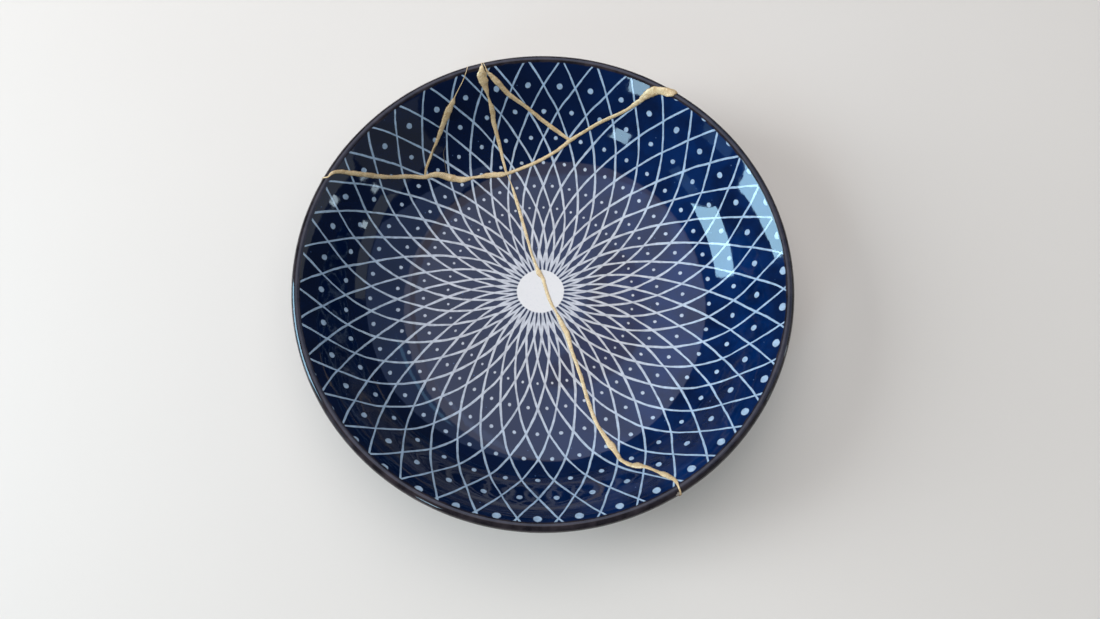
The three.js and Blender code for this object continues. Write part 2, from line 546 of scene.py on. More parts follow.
def combine(base: bpy.types.Mesh, other: bpy.types.Mesh, join: Join) -> bpy.types.Mesh:
    """Join, cut or intersect two closed meshes.

    Args:
        base: The mesh that is kept.
        other: The mesh that is added, taken away or shared.
        join: Which of the three.

    Returns:
        The combined mesh.
    """
    tool = bpy.data.objects.new("tool", other)
    holder = bpy.data.objects.new("base", base)
    for part in (tool, holder):
        bpy.context.scene.collection.objects.link(part)
    modifier = holder.modifiers.new("combine", "BOOLEAN")
    modifier.operation = join.value
    modifier.solver = "MANIFOLD"
    modifier.object = tool
    made = evaluated(holder)
    bpy.data.objects.remove(tool)
    return made


def wheel_tree() -> bpy.types.NodeTree:
    """The tree that turns a half section round the vertical axis, as a wheel does.

    Returns:
        A tree whose source is a chain of (radius, 0, height) points.
    """
    tree = bpy.data.node_groups.new("turned_on_wheel", "GeometryNodeTree")
    tree.interface.new_socket("Geometry", in_out="INPUT", socket_type="NodeSocketGeometry")
    tree.interface.new_socket("Sides", in_out="INPUT", socket_type="NodeSocketInt")
    for name in ("Glaze Swell", "Swell Fineness", "Foot Stays Below"):
        tree.interface.new_socket(name, in_out="INPUT", socket_type="NodeSocketFloat")
    tree.interface.new_socket("Glaze", in_out="INPUT", socket_type="NodeSocketMaterial")
    tree.interface.new_socket("Geometry", in_out="OUTPUT", socket_type="NodeSocketGeometry")
    g = Graph(tree)
    given = g.add("NodeGroupInput").outputs
    rows = g.add("GeometryNodeAttributeDomainSize", {0: given["Geometry"]},
                 component="MESH").outputs["Point Count"]
    columns = g.math("ADD", given["Sides"], 1.0)
    grid = g.add("GeometryNodeMeshGrid", {"Vertices X": columns, "Vertices Y": rows})
    index = g.add("GeometryNodeInputIndex").outputs[0]
    column = g.math("FLOOR", g.math("DIVIDE", index, rows))
    row = g.math("SUBTRACT", index, g.math("MULTIPLY", column, rows))
    place = g.add("GeometryNodeInputPosition").outputs[0]
    sample = g.add("GeometryNodeSampleIndex",
                   {"Geometry": given["Geometry"], "Value": place, "Index": row},
                   data_type="FLOAT_VECTOR", domain="POINT")
    radius, _, height = g.axes(sample.outputs[0])
    turn = g.math("MULTIPLY", g.math("DIVIDE", column, given["Sides"]), math.tau)
    turned = g.point(g.math("MULTIPLY", radius, g.math("COSINE", turn)),
                     g.math("MULTIPLY", radius, g.math("SINE", turn)), height)
    shaped = g.add("GeometryNodeSetPosition", {"Geometry": grid.outputs["Mesh"],
                                               "Position": turned})
    closed = g.add("GeometryNodeMergeByDistance", {"Geometry": shaped.outputs[0],
                                                   "Distance": 0.004 * MM})
    normal = g.add("GeometryNodeInputNormal").outputs[0]
    uneven = g.math("SUBTRACT", g.noise(place, 1.0), 0.5)
    tree.links.new(given["Swell Fineness"], uneven.node.inputs[0].links[0].from_node.inputs["Scale"])
    firm = g.ramp(g.axes(place)[2], 0.0, given["Foot Stays Below"])
    swell = g.math("MULTIPLY", g.math("MULTIPLY", uneven, given["Glaze Swell"]), firm)
    swollen = g.add("GeometryNodeSetPosition", {"Geometry": closed.outputs[0],
                                                "Offset": g.scaled(normal, swell)})
    smooth = g.add("GeometryNodeSetShadeSmooth", {"Geometry": swollen.outputs[0]})
    real = g.add("GeometryNodeRealizeInstances", {0: smooth.outputs[0]})
    dressed = g.add("GeometryNodeSetMaterial", {"Geometry": real.outputs[0],
                                                "Material": given["Glaze"]})
    g.add("NodeGroupOutput", {0: dressed.outputs[0]})
    return tree


def brushed_bead_tree() -> bpy.types.NodeTree:
    """The tree that lays a raised bead along a path on a surface, as a loaded brush does.

    Returns:
        A tree whose source is a chain with the attributes up, breadth and lift.
    """
    tree = bpy.data.node_groups.new("brushed_bead", "GeometryNodeTree")
    tree.interface.new_socket("Geometry", in_out="INPUT", socket_type="NodeSocketGeometry")
    tree.interface.new_socket("Section Points", in_out="INPUT", socket_type="NodeSocketInt")
    for name in ("Step", "Sink", "Edge Wobble", "Wobble Fineness", "Ridge Height",
                 "Ridge Fineness"):
        tree.interface.new_socket(name, in_out="INPUT", socket_type="NodeSocketFloat")
    tree.interface.new_socket("Gold", in_out="INPUT", socket_type="NodeSocketMaterial")
    tree.interface.new_socket("Geometry", in_out="OUTPUT", socket_type="NodeSocketGeometry")
    g = Graph(tree)
    given = g.add("NodeGroupInput").outputs

    def named(name: str, kind: str) -> bpy.types.NodeSocket:
        """Read one attribute."""
        return g.add("GeometryNodeInputNamedAttribute", {"Name": name}, data_type=kind).outputs[0]

    def store(shape: Value, name: str, kind: str, value: Value) -> bpy.types.NodeSocket:
        """Keep one value on every point."""
        return g.add("GeometryNodeStoreNamedAttribute",
                     {"Geometry": shape, "Name": name, "Value": value},
                     data_type=kind, domain="POINT").outputs[0]

    line = g.add("GeometryNodeMeshToCurve", {0: given["Geometry"]}).outputs[0]
    line = g.add("GeometryNodeResampleCurve", {"Curve": line, "Length": given["Step"]},
                 mode="LENGTH").outputs[0]
    place = g.add("GeometryNodeInputPosition").outputs[0]
    tangent = g.add("GeometryNodeInputTangent").outputs[0]
    up = named("up", "FLOAT_VECTOR")
    across = g.vector("NORMALIZE", g.vector("CROSS_PRODUCT", up, tangent))
    run = g.add("GeometryNodeSplineParameter").outputs["Length"]
    line = store(line, "middle", "FLOAT_VECTOR", place)
    line = store(line, "across", "FLOAT_VECTOR", across)
    line = store(line, "run", "FLOAT", run)

    ring = g.add("GeometryNodeCurvePrimitiveCircle",
                 {"Resolution": given["Section Points"], "Radius": MM}).outputs[0]
    index = g.add("GeometryNodeInputIndex").outputs[0]
    turn = g.math("MULTIPLY", g.math("DIVIDE", index, given["Section Points"]), math.tau)
    ring = store(ring, "turn", "FLOAT", turn)
    tube = g.add("GeometryNodeCurveToMesh", {"Curve": line, "Profile Curve": ring,
                                             "Fill Caps": True}).outputs[0]

    turn = named("turn", "FLOAT")
    sideways = g.math("COSINE", turn)
    height = g.math("SINE", turn)
    middle = named("middle", "FLOAT_VECTOR")
    half = g.math("MULTIPLY", named("breadth", "FLOAT"), 0.5)
    reach = g.math("MULTIPLY", half, sideways)
    spread = g.scaled(named("across", "FLOAT_VECTOR"), reach)
    edge = g.vector("ADD", middle, spread)
    wavy = g.add("ShaderNodeTexNoise", {"Vector": edge, "Scale": given["Wobble Fineness"],
                                        "Detail": 4.0, "Roughness": 0.6}).outputs[0]
    wobble = g.math("MULTIPLY", g.math("SUBTRACT", wavy, 0.5), given["Edge Wobble"])
    spread = g.scaled(spread, g.math("ADD", 1.0, wobble))

    strokes = g.point(g.math("MULTIPLY", named("run", "FLOAT"), given["Ridge Fineness"]),
                      g.math("MULTIPLY", reach, g.math("MULTIPLY", given["Ridge Fineness"], 0.3)),
                      0.0)
    rough = g.add("ShaderNodeTexNoise", {"Vector": strokes, "Scale": 1.0, "Detail": 4.0,
                                         "Roughness": 0.6}).outputs[0]
    crown = g.math("POWER", g.math("MAXIMUM", height, 0.0), 0.75)
    lift = named("lift", "FLOAT")
    ridge = g.math("MULTIPLY", g.math("SUBTRACT", rough, 0.5), given["Ridge Height"])
    lumpy = g.math("MULTIPLY", lift, g.total(1.0, g.math("MULTIPLY", wobble, 1.4), ridge))
    below = g.math("MULTIPLY", g.math("MINIMUM", height, 0.0), given["Sink"])
    raised = g.math("ADD", g.math("MULTIPLY", crown, lumpy), below)
    position = g.vector("ADD", g.vector("ADD", middle, spread),
                        g.scaled(named("up", "FLOAT_VECTOR"), raised))
    shaped = g.add("GeometryNodeSetPosition", {"Geometry": tube, "Position": position}).outputs[0]
    smooth = g.add("GeometryNodeSetShadeSmooth", {"Geometry": shaped}).outputs[0]
    real = g.add("GeometryNodeRealizeInstances", {0: smooth}).outputs[0]
    dressed = g.add("GeometryNodeSetMaterial", {"Geometry": real, "Material": given["Gold"]})
    g.add("NodeGroupOutput", {0: dressed.outputs[0]})
    return tree


@dataclass(frozen=True)
class NetGlaze:
    """Cobalt glaze painted with a white net that opens out from a white disc.

    The net's two families of lines cross on rings round the pattern's centre, which lies a
    little off the bowl's axis. Past the middle rings every diamond holds a dot.
    """

    centre: tuple[float, float] = (-1.35 * MM, 1.6 * MM)
    inner_shift: float = 0.65 * MM
    inner_twist: float = -6.06
    twist_fade: float = 39.0
    disc_centre: tuple[float, float] = (-1.4 * MM, 2.5 * MM)
    disc_radius: float = 10.2 * MM
    disc_breadth: float = 1.04
    rings: int = 10
    ring_start: float = 1.45 * MM
    ring_step: float = 9.4 * MM
    ring_growth: float = 0.177 * MM
    meshes_round: int = 40
    first_bearing: float = 4.11
    wall_drift: tuple[float, float] = (-0.25 * MM, 0.25 * MM)
    drift_by_x: float = -0.008
    drift_by_y: float = 0.005
    line_breadth: float = 0.92 * MM
    lip_start: float = 99.9 * MM
    cobalt: tuple[float, ...] = rgba(0.0012, 0.019, 0.098)
    deep_cobalt: tuple[float, ...] = rgba(0.0012, 0.008, 0.040)
    # Painted shade: the darker cobalt ground painted on the -x wall, which is turned from the light.
    shaded_cobalt: tuple[float, ...] = rgba(0.0011, 0.0058, 0.026)
    pale: tuple[float, ...] = rgba(0.585, 0.61, 0.67)
    pale_outer: tuple[float, ...] = rgba(0.38, 0.54, 0.73)
    white: tuple[float, ...] = rgba(0.745, 0.745, 0.755)
    dull_white: tuple[float, ...] = rgba(0.69, 0.70, 0.72)
    iron: tuple[float, ...] = rgba(0.010, 0.0085, 0.012)
    worn_iron: tuple[float, ...] = rgba(0.034, 0.028, 0.034)
    outside: tuple[float, ...] = rgba(0.0035, 0.006, 0.014)
    clay: tuple[float, ...] = rgba(0.50, 0.43, 0.35)

    def material(self, section: BowlSection) -> bpy.types.Material:
        """Make the glaze.

        Args:
            section: The bowl's section, which tells the inside from the outside.

        Returns:
            The material, on Object coordinates.
        """
        made = bpy.data.materials.new("net_painted_glaze")
        made.use_nodes = True
        g = Graph(made.node_tree)
        surface = made.node_tree.nodes["Principled BSDF"]
        place = g.add("ShaderNodeTexCoord").outputs["Object"]
        painted, net = self._painted(g, place, section)
        outside, bare = self._outside(g, place)
        inside = self._is_inside(g, place, section)
        colour = g.blend(inside, outside, painted)
        g.feed(surface.inputs["Base Color"], colour)
        worn = g.ramp(g.noise(place, 260.0, 3.0), 0.35, 0.75, 0.025, 0.07)
        g.feed(surface.inputs["Roughness"], g.ramp(bare, 0.0, 1.0, worn, 0.8, smooth=False))
        surface.inputs["IOR"].default_value = 1.5
        skin = g.total(g.math("MULTIPLY", g.noise(place, 150.0, 2.0), 0.05),
                       g.math("MULTIPLY", g.noise(place, 620.0, 2.0), 0.008),
                       g.math("MULTIPLY", net, 0.010))
        grain = g.math("MULTIPLY", g.math("MULTIPLY", g.noise(place, 2600.0, 4.0), bare), 0.12)
        bump = g.add("ShaderNodeBump", {"Height": g.math("ADD", skin, grain), "Strength": 0.5,
                                        "Distance": MM})
        g.feed(surface.inputs["Normal"], bump.outputs[0])
        return made

    def _is_inside(self, g: Graph, place: Value, section: BowlSection) -> bpy.types.NodeSocket:
        """1 on the inside and the lip, 0 on the outside, from a curve midway in the wall."""
        x, y, z = g.axes(place)
        radius = self._length(g, x, y)
        span, rise = section.rim_radius * 1.1, section.height * 1.1
        upper, lower = (section.surface(side)[0] for side in (Side.UPPER, Side.LOWER))
        points = []
        for share in range(0, 12):
            at = section.rim_radius * share / 11.0 * 0.985
            middle = (np.interp(at, upper[:, 0], upper[:, 1])
                      + np.interp(at, lower[:, 0], lower[:, 1])) / 2
            points.append((at / span, middle / rise))
        points.append((1.0, points[-1][1] + 0.01))
        middle = g.math("MULTIPLY", g.curve(g.math("DIVIDE", radius, span), points), rise)
        return g.math("GREATER_THAN", z, middle)

    def _painted(self, g: Graph, place: Value,
                 section: BowlSection) -> tuple[bpy.types.NodeSocket, ...]:
        """The inside's colour: cobalt with painted shade towards -x, the net, its dots, the disc and
        the brown lip.

        Args:
            g: The material's graph.
            place: The point on the bowl.
            section: The bowl's section, along which the net's rings are spaced.

        Returns:
            The colour, and 1 where the net is, which stands up a little under the glaze.
        """
        drift = g.add("ShaderNodeTexNoise", {"Vector": place, "Scale": 75.0, "Detail": 2.0})
        sway = g.scaled(g.vector("SUBTRACT", drift.outputs["Color"], (0.5, 0.5, 0.5)), 1.1 * MM)
        x, y, _ = g.axes(g.vector("ADD", place, g.vector("ADD", sway, self._drift(g, place))))
        x = g.math("SUBTRACT", x, self.centre[0])
        y = g.math("SUBTRACT", y, self.centre[1])
        inwards = g.ramp(self._length(g, x, y), 50 * MM, 11 * MM, smooth=False)
        y = g.math("SUBTRACT", y, g.math("MULTIPLY", inwards, self.inner_shift))
        radius = self._length(g, x, y)
        ring = self._ring_number(g, radius, section)
        bearing = g.math("DEGREES", g.math("ARCTAN2", y, x))
        fade = g.math("EXPONENT", g.math("MULTIPLY", radius, -self.twist_fade))
        twist = g.math("MULTIPLY", fade, self.inner_twist)
        pitch = 360.0 / self.meshes_round
        turn = g.math("DIVIDE", g.math("SUBTRACT", g.math("SUBTRACT", bearing,
                                                          self.first_bearing), twist), pitch)
        lines = self._lines(g, place, radius, ring, turn, pitch)
        dots = self._dots(g, place, radius, ring, turn, pitch)
        x0, y0, _ = g.axes(place)
        axis_radius = self._length(g, x0, y0)
        edge = g.math("ADD", axis_radius, g.math("MULTIPLY", g.math(
            "SUBTRACT", g.noise(place, 300.0), 0.5), 0.8 * MM))
        lip = g.ramp(edge, self.lip_start - 0.2 * MM, self.lip_start + 0.25 * MM)
        net = g.math("MULTIPLY", g.math("MAXIMUM", lines, dots), g.math("SUBTRACT", 1.0, lip))

        pooled = g.ramp(g.noise(place, 55.0, 4.0, 0.6), 0.3, 0.7)
        ground = g.blend(pooled, self.deep_cobalt, self.cobalt)
        # Painted shade: the cobalt ground is darkened towards -x, where the wall is turned from the
        # light, and left as it is on the lit +x wall.
        toward_lit_wall = g.math("ADD", g.math("MULTIPLY", x0, 0.98), g.math("MULTIPLY", y0, -0.10))
        lit_wall_share = g.ramp(toward_lit_wall, -45 * MM, 72 * MM)
        ground = g.blend(lit_wall_share, g.blend(pooled, self.deep_cobalt, self.shaded_cobalt), ground)
        ground = g.blend(self._specks(g, place), ground, rgba(0.05, 0.10, 0.22))
        outer = g.ramp(radius, 35 * MM, 95 * MM)
        pale = g.blend(outer, self.pale, self.pale_outer)
        uneven = g.ramp(g.noise(place, 500.0, 3.0), 0.25, 0.7, 0.72, 1.0)
        colour = g.blend(g.math("MULTIPLY", net, uneven), ground, pale)

        dx = g.math("DIVIDE", g.math("SUBTRACT", x0, self.disc_centre[0]), self.disc_breadth)
        dy = g.math("SUBTRACT", y0, self.disc_centre[1])
        off = g.math("ADD", self._length(g, dx, dy),
                     g.math("MULTIPLY", g.noise(place, 420.0), 0.6 * MM))
        disc = g.ramp(off, self.disc_radius + 0.55 * MM, self.disc_radius + 0.1 * MM)
        clean = g.blend(g.ramp(g.noise(place, 900.0, 3.0), 0.2, 0.5), self.dull_white,
                        self.white)
        colour = g.blend(disc, colour, clean)

        rubbed = g.ramp(g.noise(place, 210.0, 4.0), 0.3, 0.75)
        brown = g.blend(rubbed, self.iron, self.worn_iron)
        return g.blend(lip, colour, brown), net

    def _drift(self, g: Graph, place: Value) -> bpy.types.NodeSocket:
        """How far the net slips sideways as it climbs the wall, as the painter's hand did."""
        x, y, _ = g.axes(place)
        climb = g.ramp(self._length(g, x, y), 55 * MM, 110 * MM)
        along_y = g.math("MULTIPLY_ADD", x, self.drift_by_x, self.wall_drift[1])
        along_y = g.math("MULTIPLY_ADD", y, self.drift_by_y, along_y)
        return g.scaled(g.point(self.wall_drift[0], along_y, 0.0), climb)

    def _length(self, g: Graph, x: Value, y: Value) -> bpy.types.NodeSocket:
        """Distance of (x, y) from the origin."""
        return g.math("SQRT", g.math("ADD", g.math("MULTIPLY", x, x), g.math("MULTIPLY", y, y)))

    def _ring_radii(self, section: BowlSection) -> list[float]:
        """The rings' radii, and one more past the lip, from their even spacing on the surface."""
        points, _ = section.surface(Side.UPPER)
        run = np.concatenate([[0.0], np.cumsum(np.linalg.norm(np.diff(points, axis=0), axis=1))])
        rings = np.arange(self.rings + 1)
        along = self.ring_start + self.ring_step * rings + self.ring_growth * rings ** 2
        radii = [float(radius) for radius in np.interp(along, run, points[:, 0])]
        return [*radii, 2 * radii[-1] - radii[-2]]

    def _ring_number(self, g: Graph, radius: Value,
                     section: BowlSection) -> bpy.types.NodeSocket:
        """How many rings out a radius lies, in whole and part rings."""
        span, count = 110.0 * MM, self.rings + 2.5
        points = [(0.0, 0.0)]
        points += [(r / span, (k + 0.5) / count) for k, r in enumerate(self._ring_radii(section))]
        points.append((1.0, points[-1][1] + (1.0 - points[-1][0]) * span / (8.1 * MM) / count))
        share = g.math("DIVIDE", radius, span)
        return g.math("SUBTRACT", g.math("MULTIPLY", g.curve(share, points), count), 0.5)

    def _spacing(self, g: Graph, radius: Value) -> bpy.types.NodeSocket:
        """Distance between rings, measured on the surface."""
        return g.math("ADD", g.math("MULTIPLY", radius, 0.043), 8.25 * MM)

    def _lines(self, g: Graph, place: Value, radius: Value, ring: Value, turn: Value,
               pitch: float) -> bpy.types.NodeSocket:
        """1 on the net's lines, 0 between them."""
        steep = math.degrees(1) / pitch
        round_way = g.math("DIVIDE", steep, g.math("MAXIMUM", radius, MM))
        out_way = g.math("DIVIDE", 0.5, self._spacing(g, radius))
        slope = self._length(g, round_way, out_way)
        loaded = g.ramp(g.noise(place, 130.0, 2.0), 0.3, 0.7, 0.80, 1.18)
        slits = g.ramp(radius, 15.4 * MM, 14.2 * MM, 0.0, -0.14)
        clotted = g.math("MULTIPLY", g.ramp(radius, 14.4 * MM, 15.8 * MM, 0.0, 0.11),
                         g.ramp(radius, 19 * MM, 16.8 * MM))
        thinning = g.ramp(radius, 60 * MM, 95 * MM, 0.98, 0.86)
        load = g.math("MULTIPLY", loaded, g.total(slits, clotted, thinning))
        half = g.math("MULTIPLY", load, self.line_breadth / 2)
        inner = g.math("SUBTRACT", half, 0.07 * MM)
        outer = g.math("ADD", half, 0.09 * MM)
        masks = []
        for lean in (-0.5, 0.5):
            across = g.math("ADD", turn, g.math("MULTIPLY", ring, lean))
            near = g.math("ABSOLUTE", g.math("SUBTRACT", across, g.math("ROUND", across)))
            distance = g.math("DIVIDE", near, slope)
            masks.append(g.ramp(distance, outer, inner))
        return g.math("MAXIMUM", *masks)

    def _dots(self, g: Graph, place: Value, radius: Value, ring: Value, turn: Value,
              pitch: float) -> bpy.types.NodeSocket:
        """1 on the dots in the diamonds, 0 elsewhere."""
        whole = g.math("ROUND", ring)
        out = g.math("MULTIPLY", g.math("SUBTRACT", ring, whole), self._spacing(g, radius))
        shifted = g.math("SUBTRACT", turn, g.math("MULTIPLY", g.math("ADD", whole, 1.0), 0.5))
        near = g.math("SUBTRACT", shifted, g.math("ROUND", shifted))
        round_way = g.math("MULTIPLY", g.math("MULTIPLY", near, radius),
                           pitch / math.degrees(1))
        uneven = g.math("MULTIPLY", g.math("SUBTRACT", g.noise(place, 700.0), 0.5), 0.5 * MM)
        distance = g.math("ADD", uneven, self._length(g, out, round_way))
        past = g.math("MAXIMUM", g.math("SUBTRACT", whole, 8.0), 0.0)
        size = g.total(0.52 * MM, g.math("MULTIPLY", g.math("SUBTRACT", whole, 4.0), 0.125 * MM),
                       g.math("MULTIPLY", g.math("MULTIPLY", past, past), 0.09 * MM))
        dot = g.ramp(distance, g.math("ADD", size, 0.16 * MM), g.math("SUBTRACT", size, 0.16 * MM))
        return g.math("MULTIPLY", dot, g.math("GREATER_THAN", whole, 3.5))

    def _specks(self, g: Graph, place: Value) -> bpy.types.NodeSocket:
        """A thin scatter of pin-sized specks in the glaze."""
        cells = g.add("ShaderNodeTexVoronoi", {"Vector": place, "Scale": 330.0})
        lucky = g.math("GREATER_THAN", g.axes(cells.outputs["Color"])[0], 0.86)
        small = g.ramp(cells.outputs["Distance"], 0.13, 0.05)
        return g.math("MULTIPLY", small, lucky)

    def _outside(self, g: Graph, place: Value) -> tuple[bpy.types.NodeSocket, ...]:
        """The outside's colour, and how bare of glaze it is: only the foot's underside is bare."""
        _, _, z = g.axes(place)
        edge = g.math("ADD", z, g.math("MULTIPLY", g.math("SUBTRACT", g.noise(place, 160.0, 3.0),
                                                          0.5), 0.9 * MM))
        bare = g.ramp(edge, 0.75 * MM, 0.45 * MM)
        burnt = g.ramp(edge, 1.5 * MM, 0.7 * MM)
        pooled = g.ramp(g.noise(place, 45.0, 4.0, 0.6), 0.3, 0.75)
        glaze = g.blend(pooled, self.outside, rgba(0.006, 0.013, 0.035))
        glaze = g.blend(self._specks(g, place), glaze, rgba(0.03, 0.05, 0.09))
        glaze = g.blend(burnt, glaze, rgba(0.035, 0.022, 0.015))
        grains = g.ramp(g.noise(place, 1500.0, 4.0, 0.7), 0.3, 0.7)
        clay = g.blend(grains, rgba(0.36, 0.29, 0.22), self.clay)
        return g.blend(bare, glaze, clay), bare


@dataclass(frozen=True)
class BrokenClay:
    """The bowl's body where it broke, hidden under the lacquer."""

    body: tuple[float, ...] = rgba(0.55, 0.52, 0.47)
    grit: tuple[float, ...] = rgba(0.30, 0.26, 0.22)

    def material(self) -> bpy.types.Material:
        """Make the broken body's rough, grainy finish."""
        made = bpy.data.materials.new("broken_clay")
        made.use_nodes = True
        g = Graph(made.node_tree)
        surface = made.node_tree.nodes["Principled BSDF"]
        place = g.add("ShaderNodeTexCoord").outputs["Object"]
        grains = g.noise(place, 1800.0, 5.0, 0.7)
        g.feed(surface.inputs["Base Color"], g.blend(g.ramp(grains, 0.35, 0.65), self.grit,
                                                     self.body))
        g.feed(surface.inputs["Roughness"], g.ramp(grains, 0.2, 0.8, 0.75, 0.95))
        bump = g.add("ShaderNodeBump", {"Height": grains, "Strength": 0.6, "Distance": 0.2 * MM})
        g.feed(surface.inputs["Normal"], bump.outputs[0])
        return made


@dataclass(frozen=True)
class PowderGold:
    """Lacquer dusted with gold powder: pale and matt, with lacquer brown in patches and painted
    shade at its steep edges.
    """

    light: tuple[float, ...] = rgba(0.81, 0.62, 0.35)
    deep: tuple[float, ...] = rgba(0.62, 0.44, 0.22)
    bright: tuple[float, ...] = rgba(0.97, 0.86, 0.64)
    lacquer: tuple[float, ...] = rgba(0.30, 0.17, 0.065)
    rubbed: tuple[float, ...] = rgba(0.075, 0.062, 0.050)
    rubbed_place: tuple[float, float] = (-46.0 * MM, 64.0 * MM)
    rubbed_reach: float = 5.6 * MM

    def material(self, section: BowlSection) -> bpy.types.Material:
        """Make the gold.

        Args:
            section: The bowl's section, against whose slope the gold's edges are told.

        Returns:
            The material, on Object coordinates.
        """
        made = bpy.data.materials.new("powder_gold")
        made.use_nodes = True
        g = Graph(made.node_tree)
        surface = made.node_tree.nodes["Principled BSDF"]
        place = g.add("ShaderNodeTexCoord").outputs["Object"]
        cloudy = g.ramp(g.noise(place, 230.0, 4.0, 0.65), 0.32, 0.68)
        colour = g.blend(cloudy, self.deep, self.light)
        dust = g.add("ShaderNodeTexVoronoi", {"Vector": place, "Scale": 3600.0})
        glint = g.math("GREATER_THAN", g.axes(dust.outputs["Color"])[0], 0.8)
        colour = g.blend(g.math("MULTIPLY", glint, 0.55), colour, self.bright)
        patches = g.ramp(g.noise(place, 1150.0, 4.0, 0.75), 0.60, 0.72, 0.0, 0.75)
        # Painted shade: the bead's steep sides are darkened to the lacquer's brown, as shade at its
        # edges; the patches are the lacquer showing through.
        edges = g.ramp(self._steepness(g, place, section), 0.16, 0.62, 0.0, 0.85)
        colour = g.blend(g.math("MAXIMUM", patches, edges), colour, self.lacquer)
        rubbed = g.ramp(self._off_rubbed_place(g, place), self.rubbed_reach,
                        self.rubbed_reach * 0.9, 0.0, 0.9)
        colour = g.blend(rubbed, colour, self.rubbed)
        g.feed(surface.inputs["Base Color"], colour)
        surface.inputs["Metallic"].default_value = 0.25
        g.feed(surface.inputs["Roughness"], g.ramp(g.noise(place, 900.0, 3.0), 0.3, 0.7, 0.34,
                                                   0.55))
        streaks = g.noise(place, 1700.0, 4.0, 0.7)
        height = g.math("ADD", g.math("MULTIPLY", streaks, 0.10),
                        g.math("MULTIPLY", dust.outputs["Distance"], 0.02))
        bump = g.add("ShaderNodeBump", {"Height": height, "Strength": 0.8, "Distance": MM})
        g.feed(surface.inputs["Normal"], bump.outputs[0])
        return made

    def _steepness(self, g: Graph, place: Value, section: BowlSection) -> bpy.types.NodeSocket:
        """0 where the gold lies along the bowl's inside, towards 1 where it stands up from it."""
        points, normals = section.surface(Side.UPPER)
        x, y, _ = g.axes(place)
        radius = g.math("SQRT", g.math("ADD", g.math("MULTIPLY", x, x),
                                       g.math("MULTIPLY", y, y)))
        shares = np.concatenate([np.linspace(0.0, 0.95, 12), np.linspace(0.962, 1.0, 5)])
        outward = np.interp(shares * section.rim_radius, points[:, 0], normals[:, 0])
        lean = g.curve(g.math("DIVIDE", radius, section.rim_radius),
                       [(float(s), float(n + 1) / 2) for s, n in zip(shares, outward)])
        lean = g.math("MULTIPLY_ADD", lean, 2.0, -1.0)
        per_metre = g.math("DIVIDE", lean, g.math("MAXIMUM", radius, MM))
        rise = g.math("SQRT", g.math("SUBTRACT", 1.0, g.math("MULTIPLY", lean, lean)))
        normal = g.point(g.math("MULTIPLY", x, per_metre), g.math("MULTIPLY", y, per_metre), rise)
        facing = g.vector("DOT_PRODUCT", normal, g.add("ShaderNodeNewGeometry").outputs["Normal"])
        return g.math("SUBTRACT", 1.0, g.math("ABSOLUTE", facing))

    def _off_rubbed_place(self, g: Graph, place: Value) -> bpy.types.NodeSocket:
        """Distance in plan from where the thin line is rubbed down to dull brown."""
        flat = g.vector("MULTIPLY", place, (1.0, 1.0, 0.0))
        return g.vector("LENGTH", g.vector("SUBTRACT", flat, (*self.rubbed_place, 0.0)))


